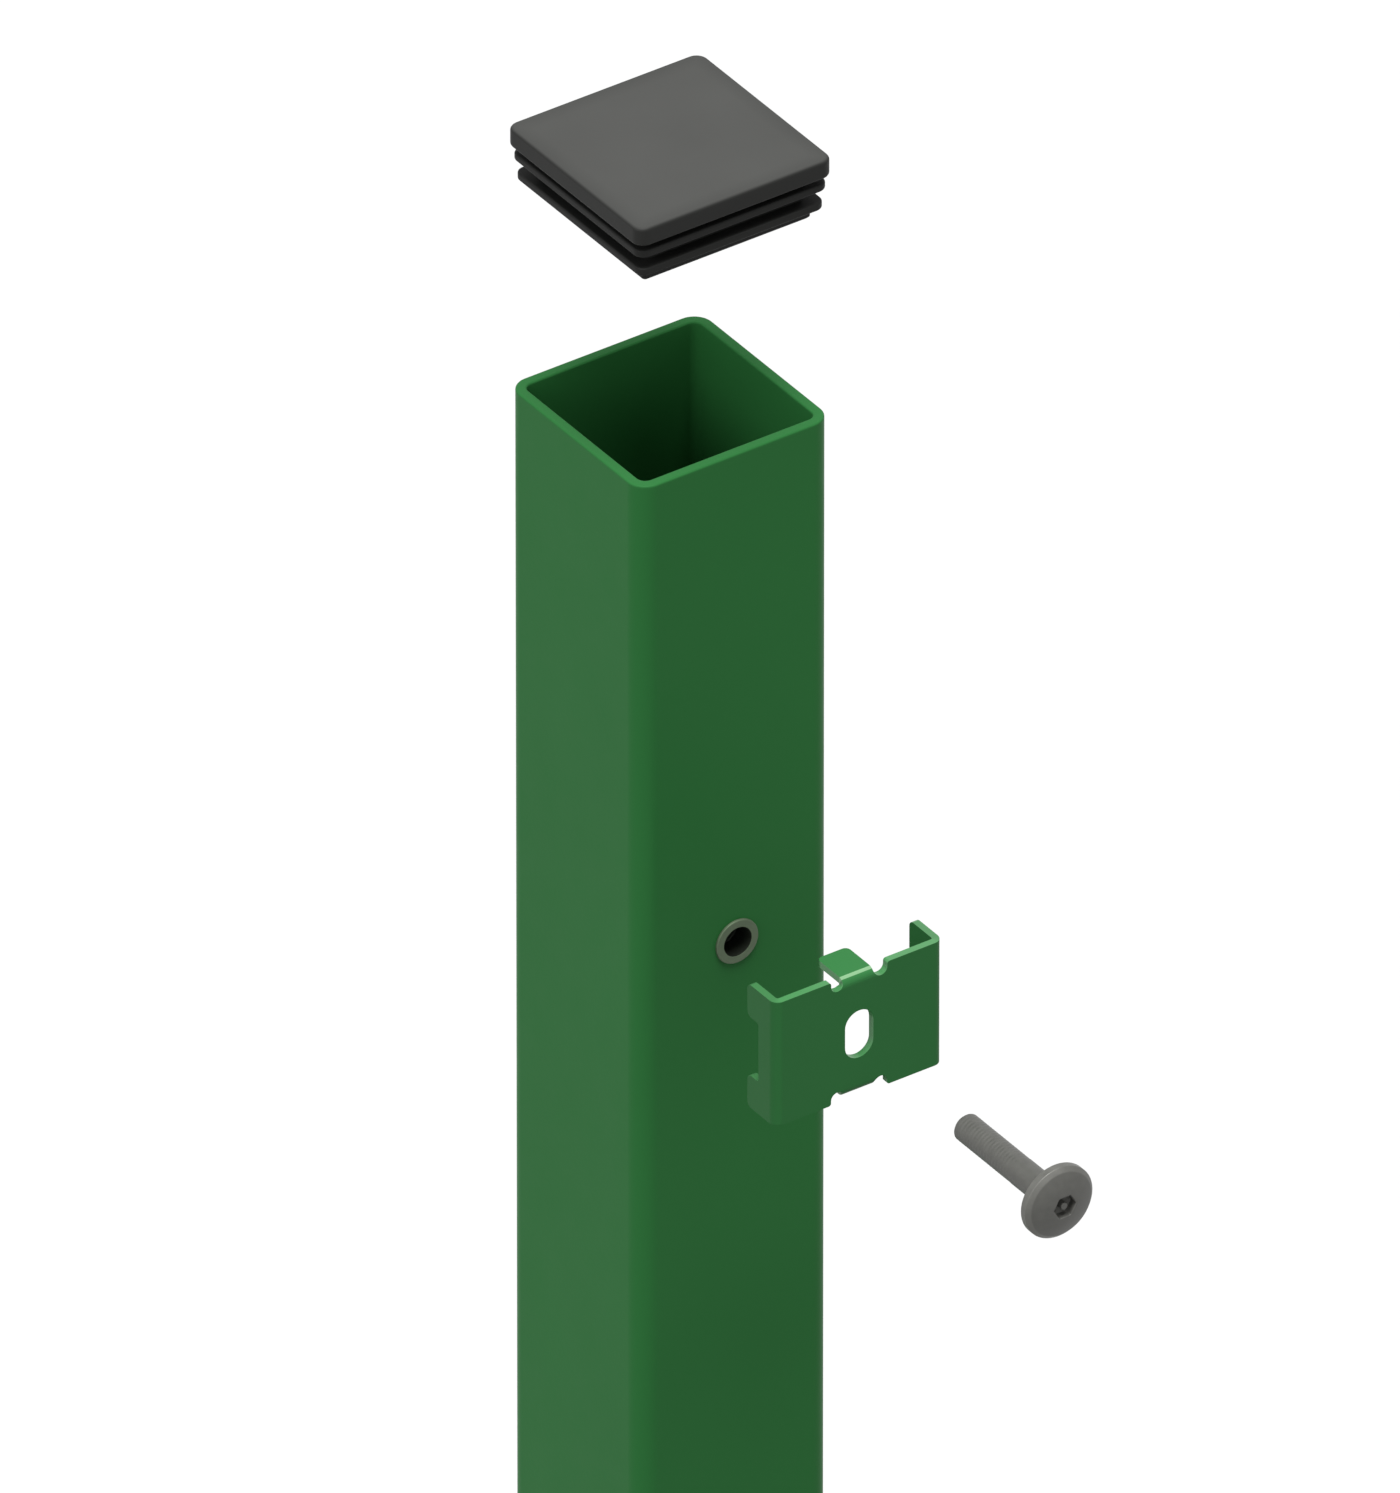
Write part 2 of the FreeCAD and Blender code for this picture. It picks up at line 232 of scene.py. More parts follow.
@dataclass(frozen=True)
class Finish:
    """Cloudy colour, uneven roughness and fine grain."""

    name: str
    colour: Colour  # linear, on average
    roughness: float  # on average
    clouds: Layer  # moves the colour, as a share of it
    patches: Layer  # moves the roughness
    grain: Layer  # moves the roughness too, and dimples the surface
    depth_mm: float  # of the dimples
    metallic: float = 0.0
    specular: float = 0.5

    def material(self) -> bpy.types.Material:
        """Make the material, in which each layer adds its noise, less a half, times its swing.

        Returns:
            The new material.
        """
        tree = ShaderTree(bpy.data.materials.new(self.name))
        patches, grain = tree.noise(self.patches), tree.noise(self.grain)
        half = 0.5 * self.clouds.swing
        low, high = scaled(self.colour, 1.0 - half), scaled(self.colour, 1.0 + half)
        roughness = self.roughness + (patches - 0.5) * self.patches.swing + (grain - 0.5) * self.grain.swing
        surface = tree.wire("ShaderNodeBsdfPrincipled", None, {
            "Base Color": tree.shaded(tree.between(tree.noise(self.clouds), low, high)),
            "Metallic": self.metallic,
            "Roughness": roughness,
            "Specular IOR Level": self.specular,
            "Normal": tree.bumps(grain, self.depth_mm),
        })
        tree.finish(surface)
        return tree.owner


@dataclass(frozen=True)
class PowderCoat(Finish):
    """Satin powder coat: faint clouds, drawn out upwards, and a fine orange-peel surface."""

    roughness: float = 0.42
    clouds: Layer = Layer(38.0, 3.0, 0.1, (1.0, 1.0, 0.45))
    patches: Layer = Layer(11.0, 2.0, 0.12)
    grain: Layer = Layer(1.7, 1.5, 0.05)
    depth_mm: float = 0.02
    specular: float = 0.055


FINE_PEEL = Layer(1.2, 1.5, 0.05)  # orange peel of a thinner coat


@dataclass(frozen=True)
class ThinCoatAndHighlight(PowderCoat):
    """Powder coat for edges and folds: smoother and glossier, and paler, where the paleness is partly thin
    coat and partly painted highlight.
    """

    roughness: float = 0.3
    grain: Layer = FINE_PEEL
    depth_mm: float = 0.006
    specular: float = 0.4


@dataclass(frozen=True)
class ZincPlate(Finish):
    """Dull electroplated zinc: cloudy grey, with fine tumbled grain."""

    roughness: float = 0.6
    clouds: Layer = Layer(2.6, 4.0, 0.44)
    patches: Layer = Layer(2.6, 4.0, 0.18)
    grain: Layer = Layer(0.35, 2.0, 0.1)
    depth_mm: float = 0.008
    metallic: float = 0.6


@dataclass(frozen=True)
class MouldedPlastic(Finish):
    """Matt injection-moulded polyethylene with a fine spark-eroded grain."""

    roughness: float = 0.5
    clouds: Layer = Layer(24.0, 2.0, 0.2)
    patches: Layer = Layer(24.0, 2.0, 0.1)
    grain: Layer = Layer(0.5, 1.0, 0.08)
    depth_mm: float = 0.012
    specular: float = 0.1


POST_COAT = PowderCoat("green_powder_coat", (0.024, 0.143, 0.036))
CLIP_COAT = PowderCoat("clip_powder_coat", (0.029, 0.148, 0.042), grain=FINE_PEEL, depth_mm=0.012)
# thin coat on the cut edges, paler also as a painted highlight
EDGE_COAT_AND_HIGHLIGHT = ThinCoatAndHighlight("thin_edge_coat_and_highlight", (0.056, 0.212, 0.072))
# painted highlight along the crest of the tabs' folds
FOLD_HIGHLIGHT_COAT = ThinCoatAndHighlight("painted_fold_highlight", (0.17, 0.34, 0.17))
NUT_ZINC = ZincPlate("zinc_plate", (0.095, 0.132, 0.080))
BOLT_ZINC = ZincPlate("bolt_zinc", (0.112, 0.112, 0.102), metallic=0.3, roughness=0.46)
CAP_PLASTIC = MouldedPlastic("black_plastic", (0.055, 0.056, 0.053))


# Surfaces


@dataclass
class Skin:
    """Points in millimetres and the faces between them."""

    points: Array  # one row of x, y, z for each point
    quads: Array  # four point numbers for each face, in order round it


def grid_skin(points: Array, close_rows: bool = False, close_columns: bool = False) -> Skin:
    """Join a grid of points into faces, each between two rows and two columns.

    Args:
        points: Array of rows by columns by 3.
        close_rows: Join the last row to the first.
        close_columns: Join the last column to the first.

    Returns:
        The grid as a skin.
    """
    rows, columns = points.shape[:2]
    i = np.arange(rows if close_rows else rows - 1)[:, None]
    j = np.arange(columns if close_columns else columns - 1)[None, :]
    i_next, j_next = (i + 1) % rows, (j + 1) % columns
    corners = [i * columns + j, i_next * columns + j, i_next * columns + j_next, i * columns + j_next]
    return Skin(points.reshape(-1, 3), np.stack(corners, axis=-1).reshape(-1, 4))


def welded(skins: Sequence[Skin]) -> tuple[Array, Faces]:
    """Make several skins one closed surface.

    Points in the same place become one, faces that lose a corner become triangles, and all faces
    are turned over if the volume, a sixth of the sum of the corner triple products, is negative.

    Args:
        skins: The skins, whose shared edges have the same points.

    Returns:
        The points and the corner numbers of each face.
    """
    starts = np.cumsum([0] + [len(skin.points) for skin in skins[:-1]])
    points = np.concatenate([skin.points for skin in skins])
    quads = np.concatenate([skin.quads + start for skin, start in zip(skins, starts)])
    keys = np.round(points / WELD_MM).astype(np.int64)
    _, first, place = np.unique(keys, axis=0, return_index=True, return_inverse=True)
    points, quads = points[first], place.reshape(-1)[quads]
    repeated = quads == np.roll(quads, -1, axis=1)
    whole = quads[~repeated.any(axis=1)]
    once = repeated.sum(axis=1) == 1
    triangles = quads[once][~repeated[once]].reshape(-1, 3)
    halves = np.concatenate([whole[:, [0, 1, 2]], whole[:, [0, 2, 3]], triangles])
    a, b, c = (points[halves[:, k]] for k in range(3))
    if np.einsum("ij,ij->", a, np.cross(b, c)) < 0.0:
        whole, triangles = whole[:, ::-1], triangles[:, ::-1]
    return points, whole.tolist() + triangles.tolist()


def rounded_path(corners: Sequence[Triple], closed: bool, steps: int) -> Array:
    """Round the corners of a path.

    At a corner with radius r and an angle q between its two sides, the arc touches each side at
    r / tan(q / 2) from the corner, about a centre on the bisector at r / sin(q / 2).

    Args:
        corners: Each corner's two coordinates and its radius, 0 for a sharp one.
        closed: Whether the last corner joins the first.
        steps: Straight pieces in each arc.

    Returns:
        The path's points, two columns.
    """
    places = np.array([corner[:2] for corner in corners])
    made = []
    for index, (place, (_, _, radius)) in enumerate(zip(places, corners)):
        inner = closed or 0 < index < len(corners) - 1
        if radius <= 0.0 or not inner:
            made.append(place[None, :])
            continue
        back = places[index - 1] - place
        on = places[(index + 1) % len(places)] - place
        back, on = back / np.linalg.norm(back), on / np.linalg.norm(on)
        half = 0.5 * math.acos(float(np.clip(back @ on, -1.0, 1.0)))
        middle = (back + on) / np.linalg.norm(back + on)
        centre = place + middle * radius / math.sin(half)
        first = place + back * radius / math.tan(half) - centre
        last = place + on * radius / math.tan(half) - centre
        start = math.atan2(first[1], first[0])
        turn = math.atan2(first[0] * last[1] - first[1] * last[0], float(first @ last))
        angles = start + turn * np.linspace(0.0, 1.0, steps + 1)
        made.append(centre + radius * np.stack([np.cos(angles), np.sin(angles)], axis=1))
    return np.concatenate(made)


def turn_angles(count: int) -> Array:
    """Return count equally spaced angles of one turn, from 0."""
    return np.arange(count) * (2.0 * math.pi / count)


def path_rows(path: Array, columns: int) -> Array:
    """Return a path of radii and lengths repeated in every column, rows by columns by 2."""
    return np.repeat(path[:, None, :], columns, axis=1)


def paired(first: Array | Sequence[float] | float, second: Array | float) -> Array:
    """Return two coordinates side by side, each point's own or one for a whole row or column."""
    return np.stack(np.broadcast_arrays(first, second), axis=-1)


def lathe(
    section: Array, start_y: float, way: float, centre_z: float, closed: bool
) -> tuple[Array, Faces, Array]:
    """Turn a section about a level axis along Y and weld it.

    A point at angle a has x = radius cos a, y = start_y + way length and z = centre_z + radius
    sin a.

    Args:
        section: Radius and length of each row at each angle, rows by angles by 2.
        start_y: Y where lengths start.
        way: 1 for lengths that run towards +Y, -1 for -Y.
        centre_z: Height of the axis.
        closed: Whether the section's last row joins the first.

    Returns:
        The points, the corner numbers of each face and each point's distance from the axis.
    """
    radii, depths = section[..., 0], start_y + way * section[..., 1]
    angles = turn_angles(section.shape[1])[None, :]
    turned = np.stack([radii * np.cos(angles), depths, centre_z + radii * np.sin(angles)], axis=-1)
    points, faces = welded([grid_skin(turned, closed, True)])
    return points, faces, np.hypot(points[:, 0], points[:, 2] - centre_z)


def thread_wave(depths: Array, angles: Array, pitch: float) -> Array:
    """Shape a right-hand screw thread about the Y axis, from -1 in the groove to 1 on the crest.

    The phase is depth / pitch + angle / one turn. A triangle wave of that phase is stretched by a
    quarter and clipped, which leaves narrow flats on the crest and in the groove.

    Args:
        depths: Y of each row.
        angles: Angle of each column.
        pitch: Distance from crest to crest.

    Returns:
        The wave, rows by columns.
    """
    phase = depths[:, None] / pitch + angles[None, :] / (2.0 * math.pi)
    triangle = 4.0 * np.abs(phase - np.floor(phase) - 0.5) - 1.0
    return np.clip(1.25 * triangle, -1.0, 1.0)


def square_loops(reach: Array, corner: Array, heights: Array, flats: Array, arc_steps: int) -> Array:
    """Trace level square outlines with rounded corners, all with equally many points.

    Each corner is a quarter turn of a circle of the corner radius about the square's corner at
    reach, and each flat runs between two such circles, with points at the given shares of reach.

    Args:
        reach: Half the straight part of a side, for each row.
        corner: Corner radius, for each row.
        heights: Z of each row.
        flats: Shares from -1 to 1 along a flat, both ends included.
        arc_steps: Straight pieces in each corner.

    Returns:
        The outlines, rows by points by 3, counter-clockwise seen from above, from the left end of
        the front.
    """
    arc = -0.5 * math.pi + np.arange(1, arc_steps) * (0.5 * math.pi / arc_steps)
    along = np.concatenate([flats, np.ones(arc_steps - 1)])
    across = -np.ones_like(along)
    normal_x = np.concatenate([np.zeros(len(flats)), np.cos(arc)])
    normal_y = np.concatenate([-np.ones(len(flats)), np.sin(arc)])
    side = reach[:, None, None] * np.stack([along, across], axis=1)
    side = side + corner[:, None, None] * np.stack([normal_x, normal_y], axis=1)
    sides = [side]
    for _ in range(3):
        last = sides[-1]
        sides.append(np.stack([-last[..., 1], last[..., 0]], axis=-1))
    level = np.concatenate(sides, axis=1)
    rise = np.broadcast_to(heights[:, None, None], level.shape[:2] + (1,))
    return np.concatenate([level, rise], axis=-1)


def mirrored(shares: Sequence[float]) -> Array:
    """Return the shares with their opposites in front, from lowest to highest."""
    return np.concatenate([-np.array(shares)[::-1], shares])


def add_piece(
    name: str,
    points: Array,
    faces: Faces,
    material: bpy.types.Material,
    shade: Array | None = None,
) -> bpy.types.Object:
    """Put a surface in the scene with smooth shading.

    Args:
        name: Object name.
        points: Points in millimetres.
        faces: Corner numbers of each face.
        material: Finish.
        shade: Painted shade, the share of the finish's colour at each point, 1 everywhere if left out.

    Returns:
        The new object, at the origin.
    """
    mesh = bpy.data.meshes.new(name)
    mesh.from_pydata((points * MM).tolist(), [], faces)
    mesh.polygons.foreach_set("use_smooth", np.ones(len(mesh.polygons), dtype=bool))
    mesh.materials.append(material)
    shades = mesh.attributes.new(SHADE, "FLOAT", "POINT")
    shades.data.foreach_set("value", np.ones(len(points)) if shade is None else shade)
    mesh.update()
    made = bpy.data.objects.new(name, mesh)
    bpy.context.scene.collection.objects.link(made)
    return made


def hand_over(piece: bpy.types.Object, node: str) -> None:
    """Weigh a piece's normals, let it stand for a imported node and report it.

    Weighted normals keep large faces flat in the shading, so that only rounded edges catch light.

    Args:
        piece: The finished piece.
        node: The node that it replaces.
    """
    weighted = piece.modifiers.new("weighted_normals", "WEIGHTED_NORMAL")
    weighted.keep_sharp = True
    weighted.weight = 80
    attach(piece, ROOT)
    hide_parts(node)
    log.info("%s stands for %s: %d faces", piece.name, node, len(piece.data.polygons))


# The post and its rivet nuts


@dataclass
class PostTube:
    """Square hollow section, open at both ends, with a round hole for each rivet nut."""

    side: float = 60.0  # outer width
    wall: float = 3.0
    corner: float = 5.5  # outer corner radius
    corner_steps: int = 12
    length: float = 1500.0  # height
    rim: float = 0.55  # radius of the rim's edges
    rim_margin: float = 0.5  # plain strip beyond the rim's rounding
    hole_r: float = 5.55  # of the rivet nuts' holes
    hole_heights: tuple[float, ...] = (1350.0, 950.0, 550.0)  # of those holes, from the top down
    field: float = 9.0  # half width of the square round a hole
    field_steps: int = 8  # along one side of that square
    flat_shares: tuple[float, ...] = (0.65, 0.985, 1.0)  # of half a flat, where points stand
    ring_shares: tuple[float, ...] = (0.0, 0.3, 0.6, 0.85, 0.97, 1.0)  # of the way to the hole

    def field_line(self) -> Array:
        """Return the places of the points along one side of a field, measured from its middle."""
        return np.linspace(-self.field, self.field, self.field_steps + 1)

    def wall_profile(self) -> Array:
        """Trace the closed upright section of one wall.

        Returns:
            Corner radius and height of each row.
        """
        margin = self.rim + self.rim_margin
        fields = [z + self.field_line() for z in self.hole_heights]
        heights = np.sort(np.concatenate([[margin, self.length - margin]] + fields))
        inner = self.corner - self.wall
        ends = rounded_path([
            (self.corner, 0.0, self.rim),
            (self.corner, self.length, self.rim),
            (inner, self.length, self.rim),
            (inner, 0.0, self.rim),
        ], True, 4)
        arcs = np.split(ends, 4)
        outer_wall, inner_wall = paired(self.corner, heights), paired(inner, heights[::-1])
        return np.concatenate([arcs[0], outer_wall, arcs[1], arcs[2], inner_wall, arcs[3]])

    def shell(self) -> Skin:
        """Carry the section's rows round the rounded square.

        The square of the corner centres is the same for the outside and the bore, and only the
        corner radius differs.

        Returns:
            The tube without the fields round its holes.
        """
        corner, heights = self.wall_profile().T
        reach = self.side / 2.0 - self.corner
        flats = np.sort(np.concatenate([mirrored(self.flat_shares), self.field_line() / reach]))
        loops = square_loops(np.full_like(corner, reach), corner, heights, flats, self.corner_steps)
        skin = grid_skin(loops.transpose(1, 0, 2), True, True)
        middle = skin.points[skin.quads].mean(axis=1)
        rise = np.abs(middle[:, 2, None] - np.array(self.hole_heights)).min(axis=1)
        in_front = middle[:, 1] < self.wall + self.rim - self.side / 2.0
        in_field = in_front & (rise < self.field) & (np.abs(middle[:, 0]) < self.field)
        return Skin(skin.points, skin.quads[~in_field])

    def hole_field(self, z: float) -> Skin:
        """Fill the field round one hole with rings, outside, through the wall and inside.

        A ring at a share w of the way from the field's square to the hole's circle has the points
        (1 - w) square point + w circle point in the same direction.

        Args:
            z: The hole's height.

        Returns:
            The field, open at its two squares.
        """
        steps = self.field_line()[:-1]
        edge = np.full_like(steps, self.field)
        x = np.concatenate([edge, -steps, -edge, steps])
        rise = np.concatenate([steps, edge, -steps, -edge])
        square = np.stack([x, rise], axis=1)
        circle = square * (self.hole_r / np.linalg.norm(square, axis=1))[:, None]
        share = np.array(self.ring_shares)
        rings = (1.0 - share)[:, None, None] * square + share[:, None, None] * circle
        rings = np.concatenate([rings, rings[::-1]])
        front = -self.side / 2.0
        depth = np.repeat([front, front + self.wall], len(share))[:, None]
        points = np.stack(np.broadcast_arrays(rings[..., 0], depth, z + rings[..., 1]), axis=-1)
        return grid_skin(points.transpose(1, 0, 2), True, False)

    def build(self, coat: PowderCoat) -> None:
        """Build the tube, in the given finish, and let it stand for its node."""
        skins = [self.shell()] + [self.hole_field(z) for z in self.hole_heights]
        piece = add_piece("post_tube_skin", *welded(skins), coat.material())
        hand_over(piece, "post_tube")


@dataclass
class RivetNut:
    """Crimped rivet nut: flange on the face, sleeve in the wall, bulb behind it, tapped barrel."""

    height: float  # of its axis
    face_y: float = -30.0  # of the post's face
    bore_r: float = 4.3
    mouth_round: float = 0.12
    sleeve_r: float = 5.5  # of sleeve and barrel
    flange_r: float = 6.5
    flange_t: float = 0.8
    flange_round: float = 0.35
    crease: float = 0.05  # edge radius where the nut bears on the wall
    bulb_r: float = 7.3
    bulb_round: float = 0.7
    wall: float = 3.0  # that it is crimped on
    bulb_back: float = 5.8  # depth of the bulb's back
    barrel_back: float = 15.3  # depth of the barrel's end
    barrel_round: float = 0.4
    thread_r: float = 3.66  # halfway up the thread
    thread_depth: float = 0.3  # half of its depth
    thread_rows: int = 92
    pitch: float = 1.25
    columns: int = 72  # round the nut
    bore_painted_shade: float = 0.12  # painted shade in the bore, so that the hole reads dark

    def build(self, node: str, zinc: bpy.types.Material) -> None:
        """Turn the closed half section about the nut's axis, with the thread in its bore.

        The bore's radius is the mean radius less the thread's wave, faded out over half a pitch
        at both ends.

        Args:
            node: Node that it stands for.
            zinc: Finish.
        """
        outside = rounded_path([
            (self.bore_r, 2.0, 0.0),
            (self.bore_r, -self.flange_t, self.mouth_round),
            (self.flange_r, -self.flange_t, self.flange_round),
            (self.flange_r, 0.0, self.crease),
            (self.sleeve_r, 0.0, self.crease),
            (self.sleeve_r, self.wall, self.crease),
            (self.bulb_r, self.wall, self.bulb_round),
            (self.bulb_r, self.wall + 1.5, self.bulb_round),
            (self.bulb_r - 1.0, self.bulb_back, 0.3),
            (self.sleeve_r, self.bulb_back, 0.1),
            (self.sleeve_r, self.barrel_back, self.barrel_round),
            (self.thread_r + 0.2, self.barrel_back, 0.15),
            (self.thread_r, self.barrel_back - 0.4, 0.0),
        ], False, 4)
        depth = np.linspace(self.barrel_back - 0.5, self.bulb_back + 0.1, self.thread_rows)
        ends = np.minimum(depth - depth[-1], depth[0] - depth) / (0.5 * self.pitch)
        fade = np.clip(ends, 0.0, 1.0)[:, None]
        wave = fade * thread_wave(depth, turn_angles(self.columns), self.pitch)
        bore = paired(self.thread_r - self.thread_depth * wave, depth[:, None])
        step = np.array([(self.bore_r - 0.15, self.bulb_back + 0.05), (self.bore_r, self.bulb_back - 0.1)])
        section = [path_rows(outside, self.columns), bore, path_rows(step, self.columns)]
        points, faces, from_axis = lathe(np.concatenate(section), self.face_y, 1.0, self.height, True)
        # Painted shade: points in the bore past its mouth are darkened, so that the hole reads dark.
        mouth_y = self.face_y - self.flange_t + 0.6 * self.mouth_round
        in_bore = (from_axis < self.bore_r + 0.25 * self.mouth_round) & (points[:, 1] > mouth_y)
        piece = add_piece(f"{node}_skin", points, faces, zinc, np.where(in_bore, self.bore_painted_shade, 1.0))
        hand_over(piece, node)


# The loose fixings


@dataclass
class ClipBolt:
    """Bolt with a bevelled, gently domed head and a hexagon socket with a pin."""

    tip_y: float = -132.9
    height: float = 1350.0  # of its axis
    length: float = 40.0  # under the head
    tip_r: float = 3.1  # of the tip's flat
    tip_chamfer: float = 0.8  # its length
    thread_length: float = 25.0  # from the tip
    thread_rows: int = 230
    shank_r: float = 4.0
    thread_r: float = 3.93  # halfway up the thread
    thread_depth: float = 0.025  # half of its depth
    pitch: float = 1.25
    head_r: float = 10.5
    rim: float = 2.1  # height of the head's straight rim
    bevel: float = 1.0  # above the rim
    head_height: float = 5.3  # with rim, bevel and dome
    edge_round: float = 0.3  # under the head
    rim_round: float = 0.35  # between rim and bevel
    socket_half: float = 3.0  # half the socket's width over flats
    socket_corner: float = 1.13  # radius at its corners, over that half width
    socket_depth: float = 2.8  # below the dome's top
    mouth: float = 1.34  # where the dome turns into the socket, over that half width
    pin_r: float = 1.0
    pin_height: float = 2.1  # above the socket's floor
    columns: int = 96  # round the bolt
    shank_painted_shade: float = 0.76  # painted shade on the shank, darker than the bevel
    face_painted_shade: float = 0.78  # painted shade on the dome and in the socket, which leaves the bevel a painted highlight

    @property
    def face_r(self) -> float:
        """Radius of the dome inside the bevel."""
        return self.head_r - self.bevel

    def dome(self, radii: Array) -> Array:
        """Place points on the dome, a sphere of radius (f^2 + h^2) / 2h.

        Here f is the face's radius inside the bevel and h the dome's rise.

        Args:
            radii: Distances from the axis.

        Returns:
            The length from the tip at each.
        """
        apex = self.length + self.head_height
        rise = self.head_height - self.rim - self.bevel
        sphere = (self.face_r ** 2 + rise ** 2) / (2.0 * rise)
        return apex - sphere + np.sqrt(sphere ** 2 - radii ** 2)

    def shank_section(self) -> Array:
        """Trace the section from the tip's centre to the start of the dome.

        Returns:
            Radii and lengths, rows by angles by 2.
        """
        chamfer_r = self.thread_r - 2.0 * self.thread_depth
        tip_corners = [(0.0, 0.0, 0.0), (self.tip_r, 0.0, 0.2), (chamfer_r, self.tip_chamfer, 0.0)]
        tip = rounded_path(tip_corners, False, 3)
        thread = np.linspace(self.tip_chamfer + 0.1, self.thread_length, self.thread_rows)
        ends = np.minimum(thread - thread[0], (thread[-1] - thread) * 0.7) / self.pitch
        wave = np.clip(ends, 0.0, 1.0)[:, None] * thread_wave(-thread, turn_angles(self.columns), self.pitch)
        head = rounded_path([
            (self.shank_r, self.thread_length + 0.4, 0.0),
            (self.shank_r, self.length, self.edge_round),
            (self.head_r, self.length, self.edge_round),
            (self.head_r, self.length + self.rim, self.rim_round),
            (self.face_r, self.length + self.rim + self.bevel, 0.0),
        ], False, 4)
        return np.concatenate([
            path_rows(tip, self.columns),
            paired(self.thread_r + self.thread_depth * wave, thread[:, None]),
            path_rows(head, self.columns),
        ])

    def face_section(self) -> Array:
        """Trace the section from the dome's rim over the socket to the pin's centre.

        The radius of a row is (1 - k) circle + k hexagon, where k is the row's share of hexagon and
        the hexagon's radius at angle a is its half width / cos((a mod 60 degrees) - 30 degrees).

        Returns:
            Radii and lengths, rows by angles by 2.
        """
        sixth = math.pi / 3.0
        hexagon = 1.0 / np.cos(np.mod(turn_angles(self.columns), sixth) - 0.5 * sixth)
        hexagon = np.minimum(hexagon, self.socket_corner)[None, :]
        mouth = self.mouth * self.socket_half
        share = np.linspace(0.06, 1.0, 9)[:, None]
        ring = (1.0 - share) * self.face_r + share * mouth
        blend = np.clip((share - 0.35) / 0.65, 0.0, 1.0)
        dome_radii = (1.0 - blend) * ring + blend * (mouth / self.socket_corner) * hexagon
        lip_radii = (self.socket_half + np.array([0.22, 0.08, 0.0])[:, None]) * hexagon
        lip_drop = np.array([0.02, 0.09, 0.25])[:, None]
        floor = self.length + self.head_height - self.socket_depth
        wall_radii = (self.socket_half - np.array([0.0, 0.0, 0.12])[:, None]) * hexagon
        wall_rise = np.array([1.0, 0.12, 0.0])[:, None]
        pin = rounded_path([
            (self.pin_r + 0.12, floor, 0.0),
            (self.pin_r, floor + 0.02, 0.0),
            (self.pin_r, floor + self.pin_height, 0.2),
            (0.0, floor + self.pin_height, 0.0),
        ], False, 3)
        return np.concatenate([
            paired(dome_radii, self.dome(dome_radii)),
            paired(lip_radii, self.dome(lip_radii) - lip_drop),
            paired(wall_radii, floor + wall_rise),
            path_rows(pin, self.columns),
        ])

    def build(self, zinc: ZincPlate) -> None:
        """Turn the whole section about the bolt's axis, from the tip's centre to the pin's.

        Args:
            zinc: Finish.
        """
        section = np.concatenate([self.shank_section(), self.face_section()])
        points, faces, from_axis = lathe(section, self.tip_y, -1.0, self.height, False)
        # Painted shade on the dome, socket and shank leaves the bevel lighter, as a painted highlight.
        shade = np.where(from_axis < self.face_r - 0.02, self.face_painted_shade, 1.0)
        shade[points[:, 1] > self.tip_y - self.length + 0.05] = self.shank_painted_shade
        piece = add_piece("clip_bolt_skin", points, faces, zinc.material(), shade)
        hand_over(piece, "clip_bolt")


